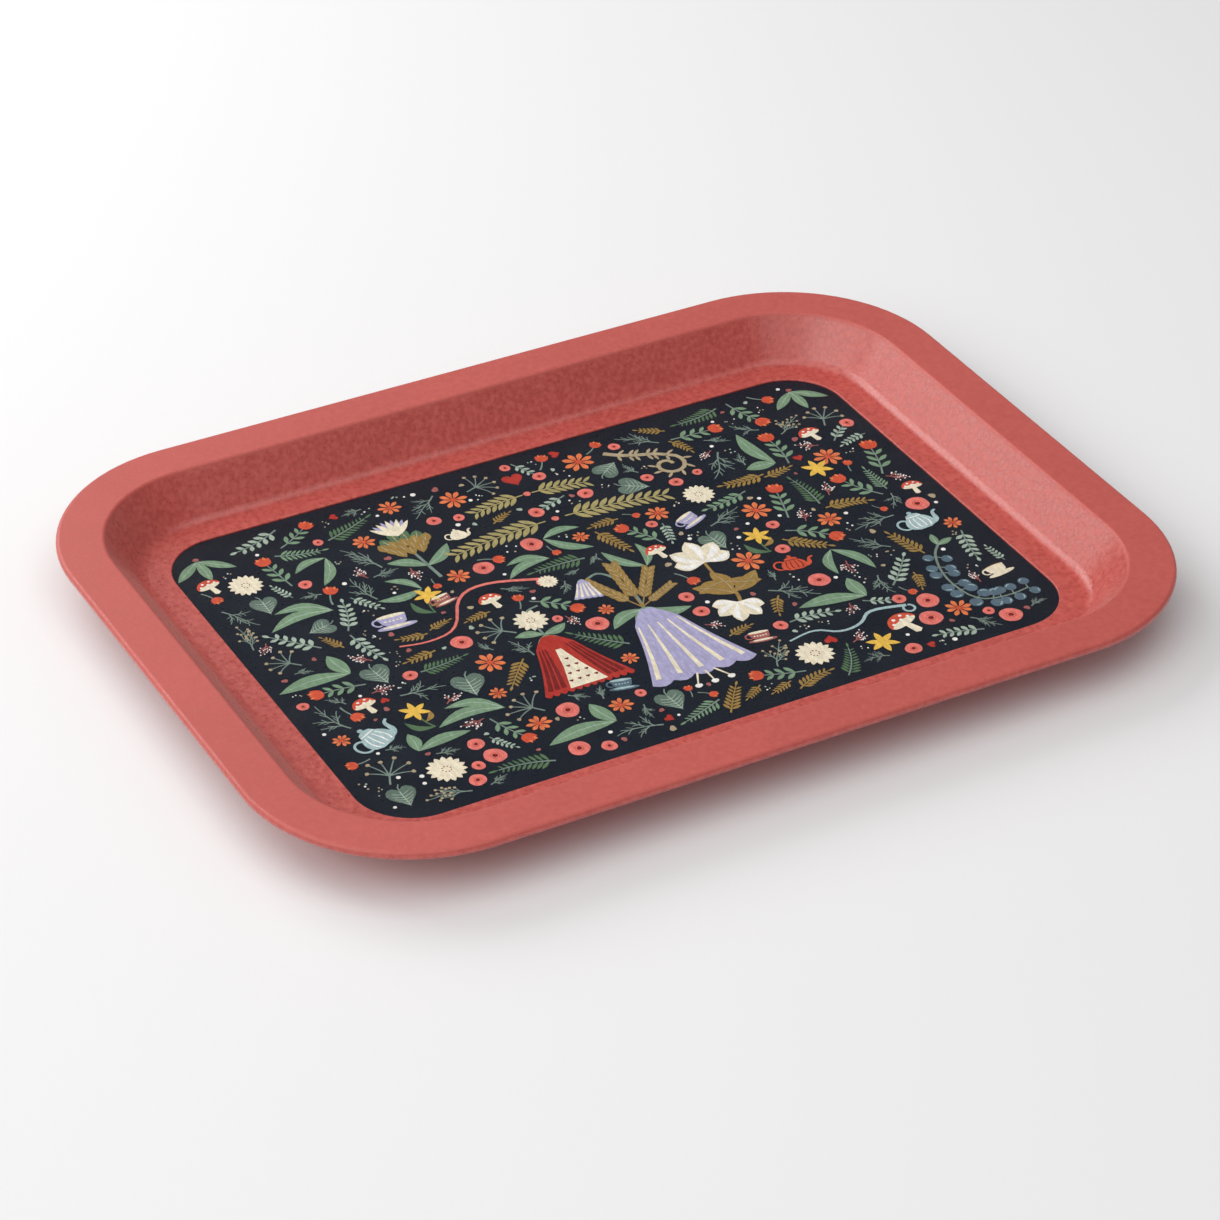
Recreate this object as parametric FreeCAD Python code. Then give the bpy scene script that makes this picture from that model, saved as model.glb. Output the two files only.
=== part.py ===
"""Serving tray: a moulded shell with a flat rim, a printed sheet let into its floor, and a clear wear layer.

Every outline is the outer outline moved inwards, so the four corners share their centres. The shell's wall is
drawn once, as a cross-section of inset from the outer edge against height, then run along the four straight
sides and turned about the four corner centres. +X runs along the tray, +Y from its front edge to its back
edge and +Z up. The origin is the middle of the footprint, on the surface that the tray rests on.
"""

import FreeCAD, Part
import math
import os

# Driving dimensions, in millimetres and degrees
TRAY_LENGTH = 275.0
TRAY_DEPTH = 205.0
TRAY_HEIGHT = 16.0
CORNER_RADIUS = 47.5
WALL_THICKNESS = 2.5
RIM_WIDTH = 12.5
RIM_THICKNESS = 2.5
RIM_EDGE_ROUNDING = 1.1
RIM_BEND_RADIUS = 1.2
UNDERSIDE_BEND_RADIUS = 1.5
WALL_SLOPE = 53.0
WALL_FOOT_RADIUS = 4.0
FOOT_RING_HEIGHT = 1.0
FOOT_RING_WIDTH = 4.0
FOOT_RING_TAPER = 0.5
PANEL_INSET = 31.0
PANEL_RECESS_DEPTH = 0.7
RECESS_EDGE_ROUNDING = 0.3
SHEET_THICKNESS = 0.25
OVERLAY_THICKNESS = 0.1
SHEET_CLEARANCE = 0.1

# Heights worked out from them
FLOOR_UNDERSIDE = FOOT_RING_HEIGHT
FLOOR_TOP = FLOOR_UNDERSIDE + WALL_THICKNESS
RECESS_FLOOR = FLOOR_TOP - PANEL_RECESS_DEPTH
SHEET_TOP = RECESS_FLOOR + SHEET_THICKNESS


def corner_centres():
    """The four corner centres, each with the angle at which its quarter turn starts."""
    x = TRAY_LENGTH / 2 - CORNER_RADIUS
    y = TRAY_DEPTH / 2 - CORNER_RADIUS
    return [(x, y, 0), (-x, y, 90), (-x, -y, 180), (x, -y, 270)]


def rounded_outline(corners):
    """Face with the given corners in the XZ plane, each a position and the radius that rounds it."""
    starts = []
    ends = []
    middles = []
    for index, (corner, radius) in enumerate(corners):
        before = (corners[index - 1][0] - corner).normalize()
        after = (corners[(index + 1) % len(corners)][0] - corner).normalize()
        half_angle = before.getAngle(after) / 2
        tangent = radius / math.tan(half_angle)
        to_centre = (before + after).normalize()
        starts.append(corner + before * tangent)
        ends.append(corner + after * tangent)
        middles.append(corner + to_centre * (radius / math.sin(half_angle) - radius))
    edges = []
    for index, (corner, radius) in enumerate(corners):
        if radius > 0:
            edges.append(Part.Arc(starts[index], middles[index], ends[index]).toShape())
        edges.append(Part.LineSegment(ends[index], starts[(index + 1) % len(corners)]).toShape())
    return Part.Face(Part.Wire(edges))


def section_corner(inset, height, radius=0.0):
    """A corner of the wall's cross-section, in the XZ plane with the corner centre's axis as Z."""
    return (FreeCAD.Vector(CORNER_RADIUS - inset, 0, height), radius)


def wall_section():
    """Closed cross-section of rim, wall, floor border, foot ring and recessed floor."""
    slope = math.radians(WALL_SLOPE)
    rim_underside = TRAY_HEIGHT - RIM_THICKNESS
    wall_top_inset = RIM_WIDTH + RIM_BEND_RADIUS * math.tan(slope / 2)

    def wall_inset(height, depth_inside=0.0):
        """Inset of the sloping wall at a height, on its face or some way inside it."""
        return wall_top_inset + (TRAY_HEIGHT - height) / math.tan(slope) - depth_inside / math.sin(slope)

    ring_inside = PANEL_INSET
    ring_outside = PANEL_INSET - FOOT_RING_WIDTH - 2 * FOOT_RING_TAPER
    return rounded_outline([
        section_corner(0, TRAY_HEIGHT, RIM_EDGE_ROUNDING),
        section_corner(wall_top_inset, TRAY_HEIGHT, RIM_BEND_RADIUS),
        section_corner(wall_inset(FLOOR_TOP), FLOOR_TOP, WALL_FOOT_RADIUS),
        section_corner(PANEL_INSET, FLOOR_TOP, RECESS_EDGE_ROUNDING),
        section_corner(PANEL_INSET, RECESS_FLOOR),
        section_corner(CORNER_RADIUS, RECESS_FLOOR),
        section_corner(CORNER_RADIUS, FLOOR_UNDERSIDE),
        section_corner(ring_inside, FLOOR_UNDERSIDE),
        section_corner(ring_inside - FOOT_RING_TAPER, 0),
        section_corner(ring_outside + FOOT_RING_TAPER, 0),
        section_corner(ring_outside, FLOOR_UNDERSIDE),
        section_corner(wall_inset(FLOOR_UNDERSIDE, WALL_THICKNESS), FLOOR_UNDERSIDE,
                       WALL_FOOT_RADIUS + WALL_THICKNESS),
        section_corner(wall_inset(rim_underside, WALL_THICKNESS), rim_underside, UNDERSIDE_BEND_RADIUS),
        section_corner(0, rim_underside, RIM_EDGE_ROUNDING),
    ])


def tray_body():
    """The moulding: four straight walls, four turned corners and the middle of the floor, in one solid."""
    section = wall_section()
    half_x = TRAY_LENGTH / 2 - CORNER_RADIUS
    half_y = TRAY_DEPTH / 2 - CORNER_RADIUS
    up = FreeCAD.Vector(0, 0, 1)
    origin = FreeCAD.Vector(0, 0, 0)
    pieces = []
    for x, y, start in corner_centres():
        corner = section.revolve(origin, up, 90)
        corner.rotate(origin, up, start)
        corner.translate(FreeCAD.Vector(x, y, 0))
        pieces.append(corner)
        run = 2 * (half_y if start in (90, 270) else half_x)
        wall = section.extrude(FreeCAD.Vector(0, run, 0))
        wall.rotate(origin, up, start + 90)
        wall.translate(FreeCAD.Vector(x, y, 0))
        pieces.append(wall)
    floor_corner = FreeCAD.Vector(-half_x, -half_y, FLOOR_UNDERSIDE)
    middle = Part.makeBox(2 * half_x, 2 * half_y, RECESS_FLOOR - FLOOR_UNDERSIDE, floor_corner)
    return middle.fuse(pieces).removeSplitter()


def rounded_slab(inset, bottom, thickness):
    """A flat sheet whose outline is the tray's outer outline moved in by the inset."""
    length = TRAY_LENGTH - 2 * inset
    depth = TRAY_DEPTH - 2 * inset
    slab = Part.makeBox(length, depth, thickness, FreeCAD.Vector(-length / 2, -depth / 2, bottom))
    upright = [edge for edge in slab.Edges if abs(edge.Vertexes[0].X - edge.Vertexes[-1].X) < 1e-6
               and abs(edge.Vertexes[0].Y - edge.Vertexes[-1].Y) < 1e-6]
    return slab.makeFillet(CORNER_RADIUS - inset, upright)


def decor_sheet():
    return rounded_slab(PANEL_INSET + SHEET_CLEARANCE, RECESS_FLOOR, SHEET_THICKNESS)


def clear_overlay():
    return rounded_slab(PANEL_INSET + SHEET_CLEARANCE, SHEET_TOP, OVERLAY_THICKNESS)


def main():
    os.makedirs("parts", exist_ok=True)
    for make_piece in (tray_body, decor_sheet, clear_overlay):
        shape = make_piece()
        shape.exportStep(os.path.join("parts", make_piece.__name__ + ".step"))
        print(make_piece.__name__, shape.ShapeType, len(shape.Solids), round(shape.Volume, 1), shape.isValid(),
              shape.BoundBox)


main()
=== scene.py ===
import math
import random

import bpy
import numpy as np
from bpy.props import FloatProperty, FloatVectorProperty, IntProperty, PointerProperty
from mathutils import Matrix, Vector


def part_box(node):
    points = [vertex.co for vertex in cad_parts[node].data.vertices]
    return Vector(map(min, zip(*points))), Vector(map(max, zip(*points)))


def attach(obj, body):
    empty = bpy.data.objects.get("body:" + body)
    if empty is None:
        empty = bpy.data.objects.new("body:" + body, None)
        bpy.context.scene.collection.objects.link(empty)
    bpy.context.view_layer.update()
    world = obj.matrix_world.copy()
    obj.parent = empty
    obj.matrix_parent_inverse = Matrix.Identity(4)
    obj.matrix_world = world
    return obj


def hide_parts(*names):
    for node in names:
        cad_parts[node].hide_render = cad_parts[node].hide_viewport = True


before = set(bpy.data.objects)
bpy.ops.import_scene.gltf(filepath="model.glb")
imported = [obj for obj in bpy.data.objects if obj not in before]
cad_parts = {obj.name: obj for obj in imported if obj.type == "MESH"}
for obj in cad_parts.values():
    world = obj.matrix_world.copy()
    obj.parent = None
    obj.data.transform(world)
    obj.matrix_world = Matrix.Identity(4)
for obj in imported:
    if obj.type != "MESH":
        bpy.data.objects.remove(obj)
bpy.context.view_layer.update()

bl_info = {
    "name": "Printed Serving Tray",
    "version": (1, 0, 0),
    "blender": (4, 5, 0),
    "location": "3D View > Sidebar > Tray",
    "description": "Finishes a moulded serving tray and prints a botanical pattern on the sheet in its floor",
    "category": "Object",
}

MM = 0.001
BODY = "root"


def linear(red, green, blue):
    """A colour given in 0 to 255 display values, as the linear values that shaders use."""
    def channel(value):
        share = value / 255
        if share <= 0.04045:
            return share / 12.92
        return ((share + 0.055) / 1.055) ** 2.4
    return (channel(red), channel(green), channel(blue))


# The inks, in the order in which they are laid down: name, colour and what each prints.
INKS = {
    "stem_green": (linear(122, 140, 130), "stems, twigs and tendrils"),
    "moss_green": (linear(86, 116, 82), "ferns and dark halves of leaves"),
    "sage_green": (linear(122, 152, 122), "long leaves and sprigs"),
    "slate_green": (linear(98, 118, 106), "broad heart-shaped leaves"),
    "mist_green": (linear(166, 184, 168), "small pale leaves, ribs and veins"),
    "olive_gold": (linear(156, 126, 66), "fishbone leaves and grain"),
    "old_gold": (linear(168, 156, 104), "garlands"),
    "slate_blue": (linear(88, 110, 124), "berries"),
    "lavender": (linear(172, 168, 204), "bell flowers and cups"),
    "dusty_rose": (linear(164, 96, 92), "buds and small cups"),
    "coral_pink": (linear(228, 122, 112), "round flowers"),
    "tangerine": (linear(228, 124, 76), "daisies"),
    "heart_red": (linear(178, 52, 42), "hearts and the striped flower"),
    "poppy_red": (linear(208, 84, 56), "tulips and toadstools"),
    "honey_yellow": (linear(234, 190, 80), "star flowers"),
    "pale_blue": (linear(166, 192, 194), "teapots"),
    "straw": (linear(176, 160, 130), "seed heads and dry grasses"),
    "cream": (linear(236, 226, 200), "large petals, stalks and china"),
    "deep_red": (linear(120, 28, 26), "flower centres and fine marks"),
    "white": (linear(246, 244, 238), "dots and highlights"),
}


def ink_annotations():
    """One colour setting for each ink."""
    return {
        name: FloatVectorProperty(
            name=name.replace("_", " ").capitalize(), description="Ink for " + use,
            subtype="COLOR", size=3, min=0.0, max=1.0, default=colour)
        for name, (colour, use) in INKS.items()
    }


class TrayInkColours(bpy.types.PropertyGroup):
    """Colours of the printing inks."""
    __annotations__ = ink_annotations()


class TrayMouldingLook(bpy.types.PropertyGroup):
    """Colour and surface of the moulded shell."""
    colour: FloatVectorProperty(
        name="Moulding colour", description="Coral of the moulded shell", subtype="COLOR", size=3,
        min=0.0, max=1.0, default=(0.50, 0.062, 0.046))
    # The crease colour serves both for random mottling and as painted shade in the creases of the grain.
    shade: FloatVectorProperty(
        name="Crease colour", description="Darker red in the creases of the grain", subtype="COLOR", size=3,
        min=0.0, max=1.0, default=(0.36, 0.032, 0.024))
    well_roughness: FloatProperty(
        name="Well roughness", description="Roughness inside the well, where the mould is polished",
        min=0.0, max=1.0, default=0.3)
    rim_roughness: FloatProperty(
        name="Rim roughness", description="Roughness of the matt rim", min=0.0, max=1.0, default=0.5)
    pebble: FloatProperty(
        name="Pebble size", description="Size of the fine pebbles of the grain", unit="LENGTH",
        default=0.0007)
    cell: FloatProperty(
        name="Crackle cell", description="Size of one cell of the crackled grain", unit="LENGTH",
        default=0.0019)
    relief: FloatProperty(
        name="Relief", description="Depth of the grain", unit="LENGTH", precision=6, default=0.000026)


class TrayPrintLayout(bpy.types.PropertyGroup):
    """How the pattern is laid out on the sheet."""
    ground: FloatVectorProperty(
        name="Ground colour", description="Midnight blue printed under the pattern", subtype="COLOR", size=3,
        min=0.0, max=1.0, default=(0.005, 0.0085, 0.017))
    seed: IntProperty(name="Seed", description="Seed of the scattered motifs", default=11)
    margin: FloatProperty(
        name="Margin", description="Plain ground kept along the edge of the sheet", unit="LENGTH",
        default=0.0034)
    gap: FloatProperty(
        name="Gap", description="Plain ground kept between motifs", unit="LENGTH", default=0.0007)
    ink_step: FloatProperty(
        name="Ink thickness", description="How far each ink stands above the one before", unit="LENGTH",
        precision=7, default=0.0000042)
    film: FloatProperty(
        name="Film thickness", description="Thickness of the clear film above the inks", unit="LENGTH",
        precision=6, default=0.00001)


class TrayStudio(bpy.types.PropertyGroup):
    """Camera, light and floor."""
    azimuth: FloatProperty(
        name="Camera azimuth", description="Turn of the camera around the tray, from its front",
        subtype="ANGLE", default=math.radians(-29.55))
    elevation: FloatProperty(
        name="Camera elevation", description="Height of the camera above the floor, as an angle",
        subtype="ANGLE", default=math.radians(34.29))
    roll: FloatProperty(
        name="Camera roll", description="Tilt of the camera about its own line of sight",
        subtype="ANGLE", default=math.radians(0.89))
    distance: FloatProperty(
        name="Camera distance", description="Distance from the camera to its aim point", unit="LENGTH",
        default=1.1166)
    aim: FloatVectorProperty(
        name="Camera aim", description="Point at the middle of the picture", subtype="XYZ", size=3,
        unit="LENGTH", default=(-0.00767, -0.0113, 0.00315))
    lens: FloatProperty(name="Lens", description="Focal length in millimetres", default=121.1)
    floor: FloatVectorProperty(
        name="Floor colour", description="Pale floor that the tray rests on", subtype="COLOR", size=3,
        min=0.0, max=1.0, default=(0.82, 0.82, 0.83))
    overhead: FloatProperty(
        name="Overhead light", description="Power of the soft box over the tray", unit="POWER", default=11.5)
    window: FloatProperty(
        name="Window light", description="Power of the window at the left", unit="POWER", default=21.0)
    back_window: FloatProperty(
        name="Back light", description="Power of the light behind, at the left", unit="POWER", default=6.0)
    sky: FloatProperty(
        name="Room light", description="Strength of the even light of the room", min=0.0, default=0.28)


# ---------------------------------------------------------------- shader nodes

class Finish:
    """One material and the nodes that give it its look."""

    def __init__(self, name):
        self.material = bpy.data.materials.new(name)
        self.material.use_nodes = True
        self.tree = self.material.node_tree
        self.tree.nodes.clear()
        self.surface = self.tree.nodes.new("ShaderNodeBsdfPrincipled")
        self.output = self.tree.nodes.new("ShaderNodeOutputMaterial")
        self.tree.links.new(self.surface.outputs[0], self.output.inputs[0])
        self.place = self.node("ShaderNodeTexCoord", output="Object")

    def node(self, kind, settings=None, sockets=None, output=0):
        """Adds any node: its settings first, then the values or links of its sockets."""
        made = self.tree.nodes.new(kind)
        for name, value in (settings or {}).items():
            setattr(made, name, value)
        for name, value in (sockets or {}).items():
            self.feed(made.inputs[name], value)
        return Shade(self, made.outputs[output])

    def feed(self, socket, value):
        if isinstance(value, Shade):
            self.tree.links.new(value.socket, socket)
        elif hasattr(socket.default_value, "__len__") and len(socket.default_value) == 4 and len(value) == 3:
            socket.default_value = (*value, 1.0)
        else:
            socket.default_value = value

    def set(self, **sockets):
        """Sets sockets of the surface shader: Base_Color means its Base Color."""
        for name, value in sockets.items():
            self.feed(self.surface.inputs[name.replace("_", " ")], value)

    def colour(self, share, first, second):
        """A colour between two others."""
        return self.node("ShaderNodeMix", {"data_type": "RGBA"}, {0: share, 6: first, 7: second}, 2)

    def noise(self, size, detail=2.0, place=None, roughness=0.5):
        """Cloudy values from 0 to 1, with features of the given size in metres."""
        sockets = {"Vector": place or self.place, "Scale": 1 / size, "Detail": detail, "Roughness": roughness}
        return self.node("ShaderNodeTexNoise", None, sockets)

    def cells(self, size, feature, place):
        """Distances in a pattern of cells of the given size, as seen from above."""
        sockets = {"Vector": place, "Scale": 1 / size}
        kind = {"feature": feature, "voronoi_dimensions": "2D"}
        return self.node("ShaderNodeTexVoronoi", kind, sockets, "Distance")

    def shifted(self, size, reach):
        """The place on the surface, pushed about so that regular patterns run unevenly."""
        sockets = {"Vector": self.place, "Scale": 1 / size, "Detail": 2.0}
        push = self.node("ShaderNodeTexNoise", None, sockets, "Color")
        centred = self.node("ShaderNodeVectorMath", {"operation": "SUBTRACT"}, {0: push, 1: (0.5, 0.5, 0.5)})
        scaled = self.node("ShaderNodeVectorMath", {"operation": "SCALE"}, {0: centred, "Scale": reach})
        return self.node("ShaderNodeVectorMath", {"operation": "ADD"}, {0: self.place, 1: scaled})

    def stretched(self, scale):
        """The place on the surface with each axis scaled, for marks that are longer than wide."""
        return self.node("ShaderNodeVectorMath", {"operation": "MULTIPLY"}, {0: self.place, 1: scale})

    def bump(self, height, depth):
        """Relief of the given depth in metres, where the height goes from 0 to 1."""
        return self.node("ShaderNodeBump", None, {"Height": height, "Distance": depth, "Strength": 1.0})


class Shade:
    """A socket whose values can be written as sums, each adding its Math node."""

    def __init__(self, finish, socket):
        self.finish = finish
        self.socket = socket

    def math(self, operation, first, second):
        return self.finish.node("ShaderNodeMath", {"operation": operation}, {0: first, 1: second})

    def __add__(self, other):
        return self.math("ADD", self, other)

    __radd__ = __add__

    def __sub__(self, other):
        return self.math("SUBTRACT", self, other)

    def __rsub__(self, other):
        return self.math("SUBTRACT", other, self)

    def __mul__(self, other):
        return self.math("MULTIPLY", self, other)

    __rmul__ = __mul__

    def ramp(self, low, high, start=0.0, end=1.0):
        """Rises smoothly from start to end as the value goes from low to high."""
        sockets = {"Value": self, "From Min": low, "From Max": high, "To Min": start, "To Max": end}
        return self.finish.node("ShaderNodeMapRange", {"interpolation_type": "SMOOTHSTEP"}, sockets)


def leather_grain(finish, pebble, cell):
    """Height of the moulded grain, fine pebbles inside the cells of a crackle, and its two crease masks."""
    uneven = finish.shifted(cell * 2.5, cell * 0.6)
    crease = finish.cells(cell, "DISTANCE_TO_EDGE", uneven).ramp(0.0, 0.16)
    fine_crease = finish.cells(cell * 0.45, "DISTANCE_TO_EDGE", uneven).ramp(0.0, 0.22)
    pebbles = finish.noise(pebble, 3.0, roughness=0.62)
    height = pebbles * 0.85 + crease * 0.3 + fine_crease * 0.2
    return height, crease, fine_crease


def moulding_finish(look):
    """Coral moulding: a matt rim, and a glossier well whose skin shows a leathery crackle, with painted shade
    in its creases.
    """
    finish = Finish("coral_moulding")
    height, crease, fine_crease = leather_grain(finish, look.pebble, look.cell)
    level = finish.node("ShaderNodeSeparateXYZ", None, {"Vector": finish.place}, "Z")
    rim_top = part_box("tray_body")[1][2]
    rim = level.ramp(rim_top - 1.2 * MM, rim_top - 0.2 * MM)
    clouds = finish.noise(0.03, 4.0)
    mottle = finish.noise(look.pebble * 2.2, 3.0)
    # Small pale flecks, stretched along one axis, that lighten the tone a little.
    pale_flecks = finish.cells(0.0016, "F1", finish.stretched((1.0, 0.28, 1.0))).ramp(0.14, 0.05)
    tone = finish.colour(clouds.ramp(0.3, 0.7, 0.0, 0.18), look.colour[:], look.shade[:])
    # Painted shade: the crease lines of the grain are darkened towards the crease colour, more in the well
    # than on the rim.
    tone = finish.colour((1 - crease * fine_crease) * (0.12 - rim * 0.1), tone, look.shade[:])
    grainy = 1 - rim * 0.75
    tone = finish.colour(mottle.ramp(0.42, 0.74, 0.0, 0.45) * grainy, tone, (0.62, 0.115, 0.09))
    tone = finish.colour(mottle.ramp(0.6, 0.26, 0.0, 0.5) * grainy, tone, look.shade[:])
    tone = finish.colour(pale_flecks * 0.12, tone, (0.7, 0.2, 0.16))
    rough = rim * (look.rim_roughness - look.well_roughness) + look.well_roughness
    rough = rough + mottle.ramp(0.2, 0.8, -0.06, 0.08) + (1 - crease) * 0.1
    relief = height * (1 - rim * 0.75)
    finish.set(Base_Color=tone, Roughness=rough, Normal=finish.bump(relief, look.relief),
               Specular_IOR_Level=0.9, Sheen_Weight=0.15, Sheen_Roughness=0.5,
               Sheen_Tint=(1.0, 0.86, 0.82, 1.0))
    return finish.material


def ground_finish(layout, look):
    """Midnight blue ground of the printed sheet, faintly mottled, with painted shade in the creases of the
    grain of the moulding under it.
    """
    finish = Finish("midnight_ground")
    height, crease, _ = leather_grain(finish, look.pebble, look.cell)
    clouds = finish.noise(0.018, 4.0)
    tone = finish.colour(clouds.ramp(0.3, 0.75, 0.0, 0.5), layout.ground[:], (0.008, 0.01, 0.015))
    # Painted shade: the creases of the grain are darkened almost to black.
    tone = finish.colour((1 - crease) * 0.4, tone, (0.002, 0.003, 0.006))
    tone = finish.colour(finish.noise(0.0005, 2.0).ramp(0.5, 0.8, 0.0, 0.25), tone, (0.024, 0.03, 0.042))
    rough = finish.noise(look.pebble * 2, 3.0).ramp(0.2, 0.8, 0.26, 0.4)
    finish.set(Base_Color=tone, Roughness=rough, Normal=finish.bump(height, look.relief * 0.6),
               Specular_IOR_Level=0.12)
    return finish.material


def ink_finish(name, colour, look):
    """A matt ink with brush-like streaks, and painted shade in the hollows of the grain."""
    finish = Finish(name)
    height, crease, fine_crease = leather_grain(finish, look.pebble, look.cell)
    dark = tuple(channel * 0.62 for channel in colour)
    light = tuple(min(1.0, channel * 1.18 + 0.01) for channel in colour)
    streaks = finish.noise(0.0009, 4.0, finish.stretched((1.0, 0.35, 1.0)))
    tone = finish.colour(streaks.ramp(0.3, 0.72), dark, light)
    tone = finish.colour(0.55, tone, colour)
    # Painted shade: the ink is darkened in the creases of the grain.
    tone = finish.colour((1 - crease * fine_crease) * 0.3, tone, dark)
    rough = streaks.ramp(0.2, 0.8, 0.28, 0.42)
    finish.set(Base_Color=tone, Roughness=rough, Normal=finish.bump(height, look.relief * 0.6),
               Specular_IOR_Level=0.12)
    return finish.material


def film_finish(look):
    """Clear matt wear film: almost invisible, a trace of haze and rubbed patches."""
    finish = Finish("clear_film")
    height, _, _ = leather_grain(finish, look.pebble, look.cell)
    wear = finish.noise(0.012, 5.0)
    finish.set(
        Base_Color=(0.3, 0.33, 0.37, 1.0), Alpha=wear.ramp(0.3, 0.8, 0.005, 0.014),
        Roughness=wear.ramp(0.3, 0.8, 0.26, 0.4), Normal=finish.bump(height, look.relief * 0.6))
    return finish.material


def floor_finish(colour):
    """Pale seamless studio paper."""
    finish = Finish("studio_paper")
    tooth = finish.noise(0.0006, 3.0)
    soft = finish.noise(0.35, 2.0)
    tone = finish.colour(soft.ramp(0.3, 0.7, 0.0, 0.04), colour[:], (0.77, 0.77, 0.77))
    finish.set(Base_Color=tone, Roughness=tooth.ramp(0.2, 0.8, 0.85, 0.95),
               Normal=finish.bump(tooth, 0.00002), Specular_IOR_Level=0.15)
    return finish.material


# ---------------------------------------------------------------- drawing the pattern, in millimetres

def turned(point, angle):
    cosine, sine = math.cos(angle), math.sin(angle)
    return (point[0] * cosine - point[1] * sine, point[0] * sine + point[1] * cosine)


def steps(count):
    """Shares from 0 to 1 in that many equal steps."""
    return [index / count for index in range(count + 1)]


def bent_line(length, bend, count=10):
    """A line that leaves the origin along +Y and leans over sideways towards its end."""
    shorten = 0.25 * abs(bend)
    return [(bend * length * share ** 2, length * share * (1 - shorten * share)) for share in steps(count)]


def smooth_line(corners, count=4):
    """A soft curve through the middles of a chain of corners, from the first corner to the last."""
    line = [corners[0]]
    for index in range(1, len(corners) - 1):
        (ax, ay), (bx, by), (cx, cy) = corners[index - 1:index + 2]
        start, end = ((ax + bx) / 2, (ay + by) / 2), ((bx + cx) / 2, (by + cy) / 2)
        for share in steps(count):
            left, both, right = (1 - share) ** 2, 2 * share * (1 - share), share ** 2
            line.append((start[0] * left + bx * both + end[0] * right,
                         start[1] * left + by * both + end[1] * right))
    return line + [corners[-1]]


def heading(line, index):
    """Direction of travel along a line at one of its points."""
    before = line[max(index - 1, 0)]
    after = line[min(index + 1, len(line) - 1)]
    return math.atan2(after[1] - before[1], after[0] - before[0])


class Pen:
    """Draws outlines in one motif's own space: +Y is the way it grows, and sizes are millimetres."""

    def __init__(self, sheets, x, y, turn, size, mirror, dice):
        self.sheets = sheets
        self.x, self.y, self.turn, self.size, self.mirror = x, y, turn, size, mirror
        self.dice = dice

    def at(self, x, y, turn=0.0):
        """A pen for a detail of this motif. The turn is in degrees, leftwards."""
        place = self.out((x, y))
        angle = self.turn + self.mirror * math.radians(turn)
        return Pen(self.sheets, place[0], place[1], angle, self.size, self.mirror, self.dice)

    def along(self, line, index, turn=0.0):
        """A pen at one point of a line, facing the way the line runs there."""
        return self.at(*line[index], math.degrees(heading(line, index)) - 90 + turn)

    def out(self, point):
        local = (point[0] * self.mirror * self.size, point[1] * self.size)
        place = turned(local, self.turn)
        return (place[0] + self.x, place[1] + self.y)

    def shape(self, ink, outline):
        """Fills a closed outline."""
        points = [self.out(point) for point in outline]
        self.sheets[ink].append((points, [tuple(range(len(points)))]))

    def line(self, ink, line, width, end_width=None):
        """A stroke along a line, whose width changes evenly from its start to its end."""
        end_width = width if end_width is None else end_width
        left, right = [], []
        for index, (x, y) in enumerate(line):
            share = index / (len(line) - 1)
            half = (width + (end_width - width) * share) / 2
            side = turned((0, half), heading(line, index))
            left.append(self.out((x + side[0], y + side[1])))
            right.append(self.out((x - side[0], y - side[1])))
        last = 2 * len(line) - 1
        faces = [(index, index + 1, last - index - 1, last - index) for index in range(len(line) - 1)]
        self.sheets[ink].append((left + right[::-1], faces))

    def disc(self, ink, x, y, radius, height=1.0, wobble=0.0, count=18):
        """A round or flattened spot, uneven at its edge if it has a wobble."""
        phase = self.dice.uniform(0, 2 * math.pi)
        outline = []
        for index in range(count):
            angle = 2 * math.pi * index / count
            reach = radius * (1 + wobble * (math.sin(3 * angle + phase) + 0.6 * math.sin(5 * angle - phase)))
            outline.append((x + reach * math.cos(angle), y + reach * height * math.sin(angle)))
        self.shape(ink, outline)

    def arc(self, ink, x, y, radius, start, end, width, height=1.0, count=14):
        """A stroke along part of a circle, between two angles in degrees."""
        line = []
        for share in steps(count):
            angle = math.radians(start + (end - start) * share)
            line.append((x + radius * math.cos(angle), y + radius * height * math.sin(angle)))
        self.line(ink, line, width)

    def leaf(self, ink, length, width, bend=0.0, fullness=1.0, half=0, count=8):
        """A pointed leaf from the origin along +Y. A half of -1 or 1 fills only that side of its rib."""
        left, right = [], []
        for share in steps(count):
            middle = bend * length * math.sin(math.pi * share) * 0.5
            reach = width / 2 * math.sin(math.pi * share ** fullness) ** 0.85
            left.append((middle - (reach if half <= 0 else 0), length * share))
            right.append((middle + (reach if half >= 0 else 0), length * share))
        self.shape(ink, left + right[-2:0:-1])

    def veined_leaf(self, length, width, bend=0.0, inks=("sage_green", "moss_green", "mist_green")):
        """A long leaf in two greens, split by a pale rib."""
        self.leaf(inks[0], length, width, bend)
        self.leaf(inks[1], length * 0.98, width * 0.94, bend, half=1)
        rib = [(bend * length * math.sin(math.pi * share) * 0.5, length * share)
               for share in (0.05, 0.3, 0.55, 0.85)]
        self.line(inks[2], rib, 0.3, 0.14)


def fan(pen, leaves, bud=None):
    """Long leaves from one point, each with its turn, length, width and bend."""
    for turn, length, width, bend in leaves:
        pen.at(0, 0, turn).veined_leaf(length, width, bend)
    if bud:
        pen.disc(bud, 0, -0.9, 1.0, 0.8, 0.08, 10)


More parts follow.
